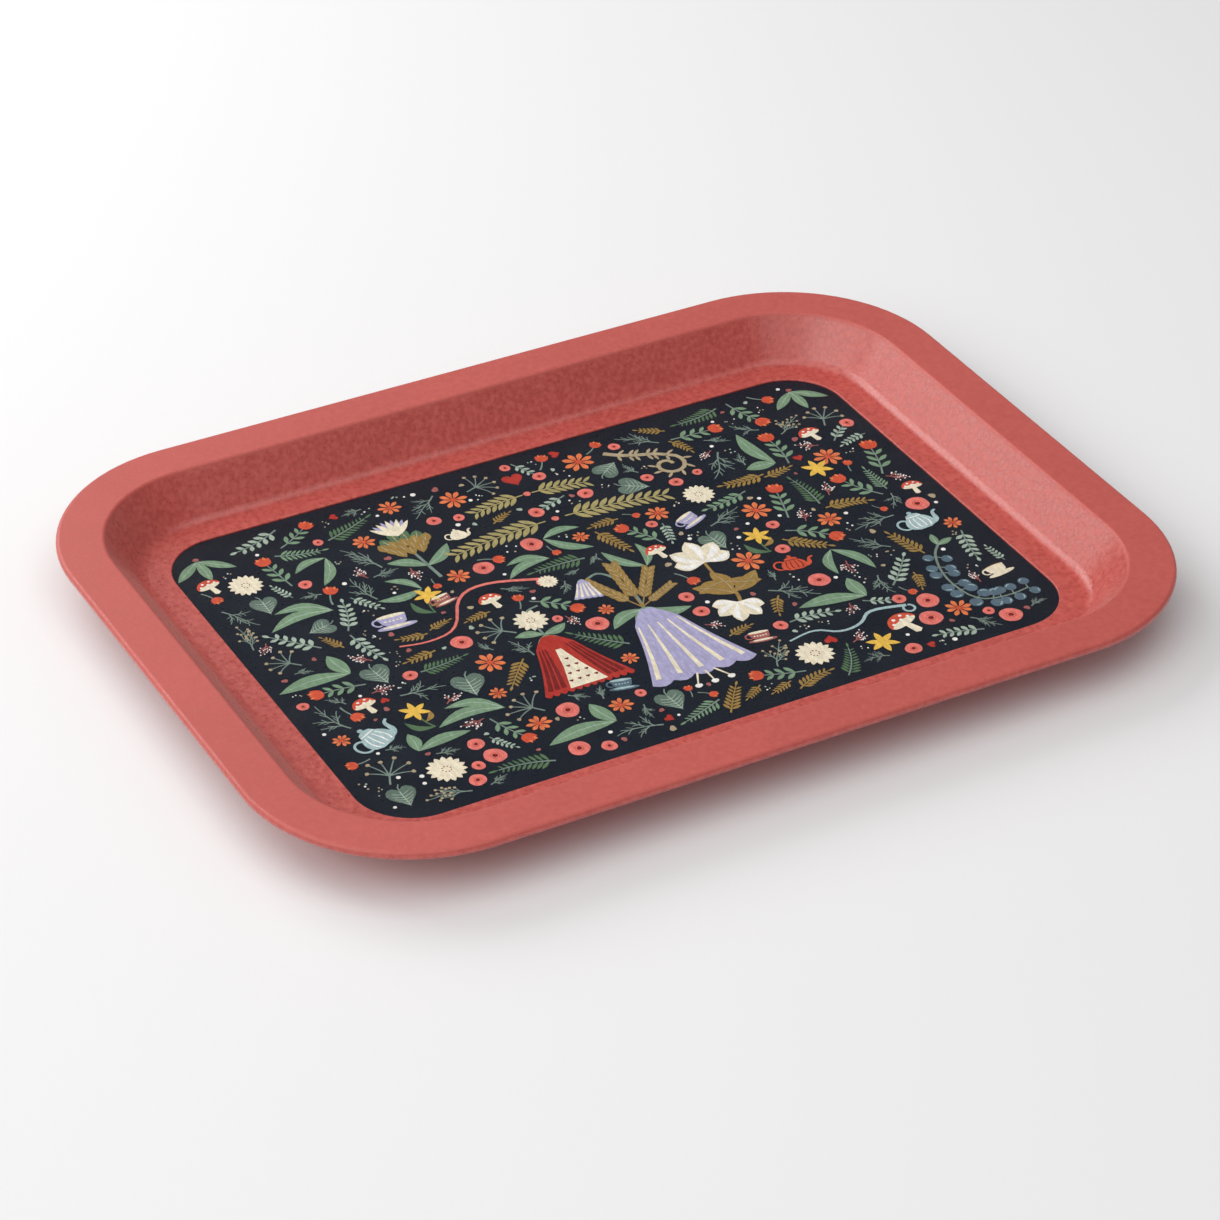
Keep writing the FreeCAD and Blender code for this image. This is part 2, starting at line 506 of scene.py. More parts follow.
def shoot(pen, ink, length, pairs, leaf, slim=0.5, tilt=45, taper=0.3, stem="stem_green", head=None, **look):
    """A bending stem with pairs of leaves, ending in a leaf or a flower head."""
    line = bent_line(length, pen.dice.uniform(-0.24, 0.24), pairs + 2)
    pen.line(stem, line, 0.55, 0.35)
    for index in range(1, pairs + 2):
        reach = leaf * (1 - taper * index / (pairs + 2))
        for side in (-1, 1):
            pen.along(line, index, side * tilt).leaf(ink, reach, reach * slim, fullness=1.2, count=6)
    top = pen.along(line, len(line) - 1)
    if head:
        head(top, **look)
    else:
        top.leaf(ink, leaf * 0.7, leaf * slim * 0.7, fullness=1.2, count=6)


def twig(pen, length=12.0, tip=None, ink="stem_green", width=0.36):
    """A thin branching twig, with or without a spot at each tip."""
    def branch(base, run, depth):
        line = bent_line(run, base.dice.uniform(-0.25, 0.25), 5)
        thickness = width * (0.75 + 0.25 * depth)
        base.line(ink, line, thickness, thickness * 0.75)
        if depth == 0:
            if tip:
                base.along(line, 5).disc(tip, 0, 0.2, 0.42, 1.0, 0.05, 8)
            return
        branch(base.along(line, 5), run * 0.72, depth - 1)
        for index, side in ((2, 1), (3, -1), (4, 1)):
            branch(base.along(line, index, side * base.dice.uniform(28, 44)), run * 0.55, depth - 1)
    branch(pen, length * 0.45, 2)


def umbel(pen):
    """A spray of thin stalks from one point, each with a seed."""
    pen.line("stem_green", [(0, 0), (0, 4.4)], 0.5)
    for turn in (-66, -40, -16, 10, 38, 64):
        ray = pen.at(0, 3.6, -turn)
        stalk = bent_line(pen.dice.uniform(5.6, 7.6), turn / 300, 5)
        ray.line("stem_green", stalk, 0.4, 0.3)
        ray.disc("straw", stalk[-1][0], stalk[-1][1], 0.62, 0.9, 0.08, 9)


def heart_outline(width, height, count=24):
    """A heart with its point at the origin and its lobes up +Y."""
    outline = []
    for index in range(count):
        angle = 2 * math.pi * index / count
        lobes = 13 * math.cos(angle) - 5 * math.cos(2 * angle) - 2 * math.cos(3 * angle) - math.cos(4 * angle)
        outline.append((math.sin(angle) ** 3 * width / 2, (lobes + 17) / 29 * height))
    return outline


def heart(pen, size=4.2, ink="heart_red"):
    pen.shape(ink, heart_outline(size, size * 0.95))


def heart_leaf(pen):
    """A broad heart-shaped leaf with ribs that curve out from its middle."""
    pen.line("stem_green", [(0, 7.0), (0.3, 9.4), (1.1, 10.6)], 0.5, 0.35)
    pen.shape("slate_green", heart_outline(8.6, 9.4))
    pen.line("mist_green", [(0, 0.7), (0, 7.4)], 0.24, 0.34)
    for level, reach in enumerate((1.3, 2.2, 2.9, 3.2, 2.6)):
        base = 1.1 + 1.2 * level
        for side in (-1, 1):
            rib = [(side * reach * share, base + 1.3 * share ** 1.4) for share in steps(4)]
            pen.line("mist_green", rib, 0.26, 0.16)


def round_flower(pen, radius=3.1):
    """A round open flower: a wobbly disc, strokes between its petals and a dark middle."""
    pen.disc("coral_pink", 0, 0, radius, 0.94, 0.025, 24)
    for index in range(9):
        pen.at(0, 0, 40 * index).line("dusty_rose", [(0, radius * 0.6), (0, radius * 0.86)], 0.2)
    pen.arc("poppy_red", 0, 0, radius * 0.4, 0, 360, 0.24, 0.94)
    pen.disc("deep_red", 0, 0, radius * 0.25, 0.9, 0.06, 10)


def daisy(pen, radius=3.7, petals=8):
    """Spoon-shaped petals round a small dark middle."""
    for index in range(petals):
        petal = pen.at(0, 0, 360 / petals * index + pen.dice.uniform(-5, 5))
        petal.leaf("tangerine", radius * pen.dice.uniform(0.92, 1.05), radius * 0.37, fullness=1.9)
        petal.line("poppy_red", [(0, radius * 0.2), (0, radius * 0.58)], 0.26, 0.14)
    pen.disc("poppy_red", 0, 0, radius * 0.2, 1.0, 0.05, 10)


def star_flower(pen, radius=4.3):
    """Six pointed petals in two yellows."""
    for index in range(6):
        petal = pen.at(0, 0, 60 * index + pen.dice.uniform(-6, 6))
        petal.leaf("honey_yellow", radius, radius * 0.4, fullness=0.85)
        petal.line("olive_gold", [(0, radius * 0.15), (0, radius * 0.72)], 0.34, 0.14)
    pen.disc("olive_gold", 0, 0, radius * 0.24, 1.0, 0.1, 10)


def star_flower_stem(pen):
    stalk = bent_line(9.0, 0.3, 8)
    pen.line("moss_green", stalk, 0.5, 0.4)
    pen.at(0, 0, 22).leaf("moss_green", 8.4, 2.2, -0.4)
    pen.along(stalk, 3, -50).leaf("olive_gold", 5.4, 1.6, 0.4)
    star_flower(pen.along(stalk, 8))


def tulip_head(pen, width=5.4, height=4.6):
    """A cup of five pointed petals, the outer ones leaning away."""
    for turn, share in ((-34, 0.9), (34, 0.9), (-16, 1.0), (16, 1.0), (0, 0.96)):
        ink = "tangerine" if abs(turn) == 16 else "poppy_red"
        pen.at(0, 0, turn).leaf(ink, height * share, width * 0.42, fullness=0.8, count=7)
    pen.disc("poppy_red", 0, height * 0.28, width * 0.32, 0.8, 0.0, 12)
    for x in (-0.7, 0.7):
        pen.line("tangerine", [(x * 0.6, height * 0.16), (x * 1.2, height * 0.5)], 0.3, 0.2)


def bud(pen):
    """A closed tulip on a bare stalk."""
    stalk = bent_line(4.6, 0.2, 5)
    pen.line("stem_green", stalk, 0.5, 0.4)
    tulip_head(pen.along(stalk, 5), 4.0, 3.8)


def toadstool(pen):
    """A red cap with white spots over pale gills and a thick stalk."""
    pen.shape("cream", [(-0.6, -0.3), (-0.9, -3.8), (0.0, -4.3), (1.0, -3.8), (0.7, -0.3)])
    pen.disc("cream", 0, 0.05, 3.3, 0.3)
    cap = [(3.6 * math.cos(math.radians(angle)), 0.1 + 3.2 * math.sin(math.radians(angle)))
           for angle in range(0, 181, 15)]
    pen.shape("poppy_red", cap + [(-2.4, -0.5), (0.0, 0.3), (2.4, -0.5)])
    spots = ((-2.1, 1.0, 0.4), (-0.9, 2.1, 0.44), (0.3, 1.1, 0.46), (1.3, 2.2, 0.4), (2.3, 1.0, 0.38))
    for x, y, radius in spots:
        pen.disc("white", x, y, radius, 0.9, 0.04, 9)


def swollen(height, foot, belly, neck, count=8):
    """Right-hand side of a round pot, from its foot up to its neck."""
    side = []
    for share in steps(count):
        base = foot + (neck - foot) * share
        side.append((base + (belly - base) * math.sin(math.pi * share ** 0.8) ** 0.7, height * share))
    return side


def mirrored(side):
    """A closed outline from its right-hand side."""
    return side + [(-x, y) for x, y in reversed(side)]


def teapot(pen, ink="pale_blue", trim="white", height=8.0, belly=5.4):
    """A teapot with a curved spout, a ring handle, a lid and stripes down its belly."""
    pen.line(ink, smooth_line([(belly * 0.5, 1.8), (belly + 1.2, 2.4), (belly + 1.6, height * 0.9),
                               (belly + 3.8, height)]), 2.4, 0.8)
    pen.arc(ink, -belly - 0.3, height * 0.6, 2.5, 0, 360, 0.8, 1.15, 18)
    pen.shape(ink, mirrored(swollen(height, 2.3, belly, 2.7)))
    pen.shape(ink, mirrored([(3.1, height - 0.2), (2.4, height + 1.2), (0.9, height + 1.8)]))
    pen.disc(ink, 0, height + 2.5, 0.9, 0.9)
    for offset in (-0.62, -0.22, 0.22, 0.62):
        stripe = [(x * offset, y) for x, y in swollen(height, 2.3, belly, 2.7)[1:-1]]
        pen.line(trim, stripe, 0.5, 0.35)
    pen.line(trim, [(-3.0, height - 0.1), (3.0, height - 0.1)], 0.4)


def teacup(pen, ink="lavender", trim="cream"):
    """A cup on its saucer, with a row of dots round it."""
    pen.disc(ink, 0, 0, 5.6, 0.2)
    pen.disc(trim, 0, 0.15, 4.0, 0.14)
    pen.arc(ink, -4.1, 3.1, 1.5, 70, 290, 0.6)
    pen.shape(ink, mirrored([(1.5, 0.4), (3.3, 1.7), (4.1, 5.0)]))
    pen.disc(trim, 0, 5.0, 4.0, 0.18)
    pen.disc(ink, 0, 4.95, 3.3, 0.13)
    for index in range(5):
        pen.disc(trim, -2.2 + 1.1 * index, 2.8 - 0.15 * math.cos(index - 2), 0.36, 1.0, 0.0, 8)


def great_daisy(pen, radius=5.0, petals=15):
    """A large cream daisy with many narrow petals round a golden seed head."""
    for index in range(petals):
        petal = pen.at(0, 0, 360 / petals * index)
        petal.leaf("cream", radius, radius * 0.34, fullness=1.6)
        petal.line("straw", [(0, radius * 0.42), (0, radius * 0.78)], 0.2, 0.12)
    pen.disc("olive_gold", 0, 0, radius * 0.36, 1.0, 0.02, 20)
    for index in range(8):
        seed = turned((0, radius * 0.22), math.pi / 4 * index)
        pen.disc("deep_red", seed[0], seed[1], radius * 0.045, 1.0, 0.0, 6)


def bell(pen, length, width, ink="lavender", stripe="cream", stripes=5, thick=0.5, front=0.0):
    """A bell flower that hangs from the origin, with a scalloped hem and stripes that keep off its front."""
    def half_width(share):
        return width / 2 * (0.1 + 0.26 * math.sin(math.pi / 2 * min(1.0, share * 4)) + 0.64 * share ** 1.4)
    side = [(half_width(share), -length * share) for share in steps(10)]
    scallops = [(half_width(1) * (1 - 2 * share),
                 -length * (1 + 0.045 * abs(math.sin(math.pi * stripes * share))))
                for share in steps(stripes * 4)]
    pen.shape(ink, side + scallops[1:-1] + [(-x, y) for x, y in reversed(side)])
    for index in range(stripes):
        lean = 0.86 * (2 * index / (stripes - 1) - 1)
        if abs(lean) < front:
            continue
        line = [(lean * half_width(share), -length * share) for share in (0.22, 0.45, 0.7, 0.94)]
        pen.line(stripe, line, thick * 0.5, thick * 1.6)
    for turn in (146, 180, 214):
        pen.at(0, length * 0.03, turn).leaf("sage_green", length * 0.3, length * 0.1)


def ear(pen, length=12.0, ink="olive_gold"):
    """An ear of grain: pairs of plump seeds on a stalk."""
    pen.line(ink, [(0, 0), (0, length)], 0.45, 0.3)
    for index in range(7):
        for side in (-1, 1):
            seed = pen.at(0, length * (0.25 + 0.11 * index), side * 26)
            seed.leaf(ink, length * 0.2, length * 0.095, fullness=1.1, count=6)
            seed.line("straw", [(0, length * 0.04), (0, length * 0.13)], 0.26)


def bellflower_plant(pen):
    """The large plant in the middle: a great striped bell under ears of grain, with a small bell."""
    pen.line("stem_green", smooth_line([(-7, 20), (-2, 22), (2, 12), (0, 0)]), 0.8, 1.0)
    for turn, length in ((-64, 14), (-34, 19), (-6, 22), (24, 19)):
        ear(pen.at(0, 1, turn), length)
    for turn in (-112, 112):
        pen.at(0, 0, turn).veined_leaf(13.0, 4.2, 0.3)
    bell(pen, 33.0, 32.0, stripes=5, thick=0.9)
    bell(pen.at(-8.5, 20.5, -14), 9.0, 8.4)
    for x in (-5.0, 0.0, 5.0):
        pen.line("cream", [(x * 0.5, -33), (x, -38)], 0.6, 0.4)
        pen.disc("white", x, -38.4, 1.1, 0.8, 0.05, 10)


def striped_flower(pen):
    """A large hanging red flower with dark stripes and a spotted cream front."""
    pen.line("stem_green", smooth_line([(5, 14), (0, 13), (0, 6), (0, 0)]), 0.7)
    bell(pen, 25.0, 27.0, "heart_red", "deep_red", 12, 0.9, 0.42)
    front = mirrored([(0.8, -7.0), (2.6, -15.0), (5.6, -24.6)])
    pen.shape("cream", front)
    for row in range(4):
        for index in range(row + 1):
            heart(pen.at((index - row / 2) * 2.5, -12.6 - 3.2 * row), 1.2, "deep_red")
    great_daisy(pen.at(0, 8.5), 5.0, 13)
    for turn in (-74, 74):
        pen.at(0, 1, turn).veined_leaf(8.0, 3.2, 0.2)


def blossom(pen, reach):
    """A cream blossom with five folded petals and golden stamens."""
    for turn, share in ((-78, 0.78), (78, 0.78), (-42, 0.92), (42, 0.92), (0, 1.0)):
        petal = pen.at(0, 0, turn)
        petal.leaf("cream", reach * share, reach * 0.5, fullness=1.4)
        petal.leaf("white", reach * share * 0.92, reach * 0.4, fullness=1.5, half=1 if turn <= 0 else -1)
        petal.line("dusty_rose", [(0, reach * 0.08), (0, reach * 0.42)], 0.34, 0.2)
    for turn in (-24, 0, 24):
        pen.at(0, 0, turn).disc("honey_yellow", 0, reach * 0.36, 0.6, 1.0, 0.0, 9)


def magnolia(pen):
    """Two cream blossoms on a woody stem with large golden-green leaves."""
    pen.line("olive_gold", smooth_line([(-3, -24), (1, -14), (-1, -4), (0, 5)]), 1.2, 0.9)
    for x, y, turn, length in ((0, -15, 52, 13), (0, -14, -58, 13), (0, -8, 104, 10), (0, -8, -112, 11),
                               (0, -13, 8, 11)):
        pen.at(x, y, turn).veined_leaf(length, 5.2, 0.14, ("olive_gold", "moss_green", "straw"))
    blossom(pen.at(0, 3), 12.0)
    blossom(pen.at(-2, -19, 158), 10.0)


def artichoke(pen):
    """A green and gold scaly flower head with a lavender tuft."""
    pen.line("stem_green", [(1.4, -16.0), (0, 0)], 1.1, 0.9)
    for turn, length in ((58, 12.0), (-52, 13.0)):
        pen.at(0.6, -9.0, turn).veined_leaf(length, 4.0, 0.2)
    for turn in range(-44, 45, 11):
        pen.at(0, 9.0, turn).leaf("lavender" if turn % 2 else "cream", 9.0, 1.9)
    for row, count in enumerate((2, 4, 5, 4, 3)):
        for index in range(count):
            x = (index - (count - 1) / 2) * 2.7
            scale_leaf = pen.at(x, 6.6 - 2.2 * row, -x * 5)
            scale_leaf.leaf("moss_green" if row < 2 else "olive_gold", 5.4, 3.5, fullness=1.2)
            scale_leaf.line("straw", [(0, 1.4), (0, 4.2)], 0.4, 0.2)


def fiddlehead(pen):
    """A curled dry fern with slim leaflets and short bars across its stalk."""
    curl = []
    for share in steps(20):
        angle, reach = math.radians(60 - 400 * share), 5.6 * (1 - 0.74 * share)
        curl.append((8.0 + reach * math.cos(angle), -5.0 + reach * math.sin(angle)))
    stalk = smooth_line([(-11, 3), (-6, 1.4), (-1, 1.2), (5, 1.6), curl[0]], 3)[:-1]
    line = stalk + curl
    for index in range(2, len(line) - 8, 2):
        sides = (-1, 1) if index < len(stalk) else (1,)
        for side in sides:
            pen.along(line, index, side * 62).leaf("straw", 3.6, 1.0, fullness=1.2, count=6)
    pen.line("straw", line, 1.7, 1.0)
    for index in range(1, len(line) - 1):
        pen.along(line, index, 90).line("olive_gold", [(0, -0.8), (0, 0.8)], 0.4)


def berry_spray(pen):
    """A drooping spray of slate blue berries, each with a pale shine and a small crown."""
    stem = smooth_line([(2, 18), (-2, 14), (-6, 2), (-4, -12), (6, -14), (13, -13)], 4)
    pen.line("stem_green", stem, 0.8, 0.5)
    for index in range(3, len(stem), 2):
        for side in (-1, 1):
            radius = 2.1 - 0.04 * abs(index - 12)
            middle = 2.9 + 0.5 * side
            berry = pen.along(stem, index, side * 72)
            berry.line("stem_green", [(0, 0), (0, middle)], 0.4)
            berry.disc("slate_blue", 0, middle, radius, 0.98, 0.01, 16)
            berry.arc("pale_blue", 0, middle, radius * 0.66, 100, 180, radius * 0.16, 1.0, 5)
            berry.disc("stem_green", 0.5, middle + 0.6, radius * 0.24, 1.0, 0.1, 8)
    for turn in (34, -30):
        pen.along(stem, 0, 180 + turn).veined_leaf(6.0, 2.4)


def garland(pen, radius=70.0, spread=14.0, leaf=4.6, count=7, ink="old_gold"):
    """Laurel leaves in pairs along a shallow arch, meeting at its middle."""
    for side in (-1, 1):
        arch = []
        for share in steps(count):
            angle = math.radians(side * (1.2 + (spread - 1.2) * share))
            arch.append((radius * math.sin(angle), radius * (math.cos(angle) - 1)))
        pen.line(ink, arch, 0.5, 0.35)
        for index in range(1, count + 1):
            reach = leaf * (1.1 - 0.3 * index / count)
            for tilt in (-44, 44):
                pen.along(arch, index, tilt).leaf(ink, reach, reach * 0.3, count=6)
    pen.disc("coral_pink", 0, 0, 1.1, 1.0, 0.04, 12)


def tendril(pen, corners, ink):
    """A long waving tendril through the given corners, with a curl at its end."""
    line = smooth_line(corners)
    pen.line(ink, line, 0.6, 1.1)
    end = pen.along(line, len(line) - 1)
    end.arc(ink, 1.5, 0.4, 1.6, 180, -140, 0.7)


def loose_bud(pen):
    ink = pen.dice.choice(("mist_green", "dusty_rose", "straw", "dusty_rose"))
    pen.disc(ink, 0, 0, pen.dice.uniform(0.7, 1.1), 0.75, 0.12, 10)


def white_dot(pen):
    pen.disc("white", 0, 0, pen.dice.uniform(0.5, 0.72), 1.0, 0.03, 12)


def dust(pen):
    """A few tiny specks."""
    for _ in range(4):
        x, y = pen.dice.uniform(-1.6, 1.6), pen.dice.uniform(-1.6, 1.6)
        pen.disc(pen.dice.choice(("mist_green", "straw", "white")), x, y, 0.27, 1.0, 0.0, 7)


ROSE = {"ink": "dusty_rose", "trim": "cream"}
CREAM = {"ink": "cream", "trim": "olive_gold"}
BLUE = {"ink": "slate_blue", "trim": "pale_blue"}
SQUAT_RED = {"ink": "poppy_red", "trim": "deep_red", "height": 7.0}
WIDE_GARLAND = {"radius": 150.0, "spread": 12.5, "leaf": 5.4, "count": 11}
PINK_TENDRIL = {"ink": "coral_pink", "corners": [(-22, -6), (-14, -8), (-4, -6), (2, 8), (12, 11), (27, 5)]}
BLUE_TENDRIL = {"ink": "pale_blue", "corners": [(-17, 0), (-8, 2), (-3, -3), (5, -2), (9, 3), (20, 0)]}
LEAF_PAIR = {"leaves": ((26, 16, 3.8, -0.22), (-20, 13, 3.3, 0.3))}
LEAF_SWOOP = {"leaves": ((12, 17, 3.6, 0.3), (-14, 14, 3.2, 0.34))}
LEAF_TRIO = {"leaves": ((50, 12, 3.4, 0), (0, 11, 3.4, 0), (-50, 12, 3.4, 0)), "bud": "dusty_rose"}
BROAD_PAIR = {"leaves": ((56, 19, 4.6, 0.16), (-22, 9.5, 4.4, -0.1))}
FERN = {"ink": "moss_green", "length": 15, "pairs": 8, "leaf": 4.2, "slim": 0.25, "tilt": 56, "taper": 0.6}
LIGHT_FERN = {"ink": "sage_green", "length": 13, "pairs": 7, "leaf": 3.6, "slim": 0.26, "tilt": 52,
              "taper": 0.6}
FISHBONE = {"ink": "olive_gold", "length": 13, "pairs": 6, "leaf": 3.6, "slim": 0.32, "tilt": 48,
            "taper": 0.4, "stem": "olive_gold"}
SMALL_FISHBONE = dict(FISHBONE, length=8.5, pairs=4, leaf=2.8)
SPRIG = {"ink": "sage_green", "length": 17, "pairs": 4, "leaf": 4.2, "slim": 0.42}
PALE_SPRIG = {"ink": "mist_green", "length": 14, "pairs": 4, "leaf": 3.3, "slim": 0.46, "tilt": 52}
TULIP = {"ink": "sage_green", "length": 13, "pairs": 2, "leaf": 4.6, "slim": 0.36, "head": tulip_head}
FLOWER_TWIG = {"ink": "mist_green", "length": 12, "pairs": 3, "leaf": 3.0, "slim": 0.44, "head": round_flower,
               "radius": 2.4}

# Motifs placed one by one: motif, x and y from the sheet's middle in millimetres, turn in degrees, size and
# options.
FEATURES = [
    (bellflower_plant, 1, -15, 0, 1.0, {}),
    (striped_flower, -29, -14, 0, 1.0, {}),
    (magnolia, 27, -6, 0, 0.95, {}),
    (artichoke, -42, 40, 0, 0.95, {}),
    (fiddlehead, 38, 53, -22, 0.95, {}),
    (berry_spray, 87, -43, 0, 0.95, {}),
    (garland, 0, 51, 0, 1.0, {}),
    (garland, 1, 36, 0, 1.0, WIDE_GARLAND),
    (heart, 0, 56, 0, 1.5, {}),
    (tendril, -44, 6, 0, 1.0, PINK_TENDRIL),
    (tendril, 45, -47, 0, 1.0, BLUE_TENDRIL),
    (teapot, -88, -38, 28, 0.9, {}),
    (teapot, 91, -17, 4, 0.82, {}),
    (teapot, 48, -18, -8, 0.7, SQUAT_RED),
    (teapot, -27, 39, 0, 0.48, CREAM),
    (great_daisy, -90, 46, 0, 1.0, {}),
    (great_daisy, -80, -55, 10, 1.1, {}),
    (great_daisy, 43, 28, 5, 0.95, {}),
    (great_daisy, 31, -55, 0, 1.1, {}),
    (great_daisy, -16, 9, 12, 0.6, {}),
    (teacup, -62, 9, -3, 1.05, {}),
    (teacup, 35, 16, 24, 0.85, {}),
    (teacup, -45, 13, 12, 0.7, ROSE),
    (teacup, 22, -43, -8, 0.75, ROSE),
    (teacup, -22, -45, -12, 0.75, BLUE),
    (teacup, 97, -46, 8, 0.8, CREAM),
    (toadstool, -99, 50, 14, 1.0, {}),
    (toadstool, -34, 8, 8, 1.0, {}),
    (toadstool, 18, 8, 10, 0.95, {}),
    (toadstool, 88, 41, 12, 1.0, {}),
    (toadstool, 99, 3, -4, 0.9, {}),
    (toadstool, 60, -54, 20, 1.35, {}),
    (toadstool, -86, -20, 12, 1.0, {}),
    (fan, -97, 63, 180, 0.95, LEAF_TRIO),
    (fan, 95, 64, 180, 0.95, LEAF_TRIO),
    (fan, -74, 24, 84, 1.15, LEAF_SWOOP),
    (fan, -83, -5, 34, 1.1, BROAD_PAIR),
    (fan, -54, -38, 78, 1.15, LEAF_SWOOP),
    (fan, -31, -57, 38, 1.1, BROAD_PAIR),
    (fan, 58, -38, 24, 1.05, BROAD_PAIR),
    (fan, 12, 3, 8, 0.9, LEAF_PAIR),
    (fan, -48, 22, 64, 0.85, LEAF_PAIR),
    (fan, -10, 19, 94, 0.9, LEAF_SWOOP),
    (daisy, -20, 58, 0, 1.15, {}),
    (daisy, 21, 59, 10, 1.3, {}),
    (daisy, 38, -8, 10, 1.3, {}),
    (daisy, 53, 13, 20, 1.2, {}),
    (daisy, 86, 28, 0, 1.2, {}),
    (daisy, 77, -55, 0, 1.05, {}),
    (daisy, -48, -18, 15, 1.2, {}),
    (star_flower_stem, 46, -7, 14, 1.0, {}),
    (star_flower_stem, -50, 10, 6, 1.0, {}),
    (star_flower_stem, -74, -37, 30, 1.0, {}),
    (star_flower, 80, 24, 0, 1.1, {}),
    (star_flower, 50, -59, 0, 1.1, {}),
    (heart_leaf, -76, -14, 10, 1.0, {}),
    (heart_leaf, -58, -30, -6, 1.1, {}),
    (heart_leaf, -13, -61, 6, 1.0, {}),
    (heart_leaf, -95, -65, 0, 0.95, {}),
    (heart_leaf, 33, 38, 60, 1.0, {}),
    (heart_leaf, 36, 0, 10, 1.0, {}),
]

# Motifs scattered between them, large ones first: motif, how many, smallest and largest size, options.
SCATTERED = [
    (shoot, 14, 0.85, 1.1, TULIP),
    (twig, 13, 1.0, 1.25, {}),
    (fan, 3, 0.85, 1.0, LEAF_PAIR),
    (fan, 2, 0.85, 1.0, BROAD_PAIR),
    (shoot, 8, 0.9, 1.1, PALE_SPRIG),
    (umbel, 6, 0.9, 1.1, {}),
    (shoot, 8, 0.85, 1.1, FERN),
    (shoot, 8, 0.9, 1.1, FISHBONE),
    (round_flower, 12, 0.95, 1.12, {}),
    (shoot, 7, 0.85, 1.1, FLOWER_TWIG),
    (heart_leaf, 3, 0.85, 1.0, {}),
    (shoot, 6, 0.85, 1.1, LIGHT_FERN),
    (shoot, 5, 0.8, 1.0, SPRIG),
    (daisy, 8, 0.85, 1.05, {}),
    (twig, 9, 0.85, 1.1, {"tip": "straw"}),
    (bud, 10, 0.85, 1.1, {}),
    (round_flower, 16, 0.6, 0.8, {}),
    (shoot, 16, 0.8, 1.05, SMALL_FISHBONE),
    (twig, 14, 0.65, 0.85, {"width": 0.45}),
    (daisy, 6, 0.65, 0.8, {}),
    (heart, 7, 0.6, 0.9, {}),
    (shoot, 14, 0.55, 0.7, PALE_SPRIG),
    (twig, 20, 0.45, 0.6, {"tip": "white", "ink": "dusty_rose", "width": 0.5}),
    (round_flower, 10, 0.5, 0.6, {}),
    (bud, 8, 0.6, 0.75, {}),
    (twig, 20, 0.45, 0.6, {"width": 0.6}),
    (loose_bud, 44, 0.8, 1.2, {}),
    (white_dot, 34, 0.85, 1.15, {}),
    (dust, 44, 0.8, 1.2, {}),
]

# Places tried for each scattered motif, and the fineness of the grid that records the plain ground.
TRIES = 500
CELLS_PER_MM = 2


class Ground:
    """Which cells of the sheet still show plain ground, so that motifs keep clear of each other."""

    def __init__(self, half_x, half_y, corner, margin, gap):
        self.half_x, self.half_y = half_x, half_y
        columns = int(2 * half_x * CELLS_PER_MM) + 1
        rows = int(2 * half_y * CELLS_PER_MM) + 1
        x = (np.arange(columns) / CELLS_PER_MM - half_x)[None, :]
        y = (np.arange(rows) / CELLS_PER_MM - half_y)[:, None]
        over_x = np.maximum(np.abs(x) - (half_x - corner), 0)
        over_y = np.maximum(np.abs(y) - (half_y - corner), 0)
        self.taken = np.hypot(over_x, over_y) > corner - margin
        reach = int(math.ceil(gap * CELLS_PER_MM))
        self.brush = [(i, j) for i in range(-reach, reach + 1) for j in range(-reach, reach + 1)
                      if math.hypot(i, j) <= gap * CELLS_PER_MM + 0.5]

    def cells(self, points):
        """Row and column of the cell that each point falls in."""
        column = np.rint((points[:, 0] + self.half_x) * CELLS_PER_MM).astype(int)
        row = np.rint((points[:, 1] + self.half_y) * CELLS_PER_MM).astype(int)
        return row, column

    def is_free(self, points):
        row, column = self.cells(points)
        rows, columns = self.taken.shape
        if row.min() < 0 or column.min() < 0 or row.max() >= rows or column.max() >= columns:
            return False
        return not self.taken[row, column].any()

    def take(self, points):
        row, column = self.cells(points)
        rows, columns = self.taken.shape
        for down, across in self.brush:
            self.taken[np.clip(row + down, 0, rows - 1), np.clip(column + across, 0, columns - 1)] = True


def drawn(motif, options, seed, x, y, turn, size, mirror=1):
    """One motif's shapes, by ink. Its turn is in radians."""
    sheets = {ink: [] for ink in INKS}
    motif(Pen(sheets, x, y, turn, size, mirror, random.Random(seed)), **options)
    return sheets


def covered_points(sheets):
    """Points over the whole area of what is drawn, at most about half a millimetre apart."""
    gathered = []
    for shapes in sheets.values():
        for points, faces in shapes:
            outline = np.array(points)
            gathered.append(outline)
            gathered.append((outline + np.roll(outline, -1, axis=0)) / 2)
            if len(faces) == 1:
                centre = outline.mean(axis=0)
                gathered += [centre + (outline - centre) * share for share in (0.75, 0.5, 0.25, 0.0)]
    return np.concatenate(gathered)


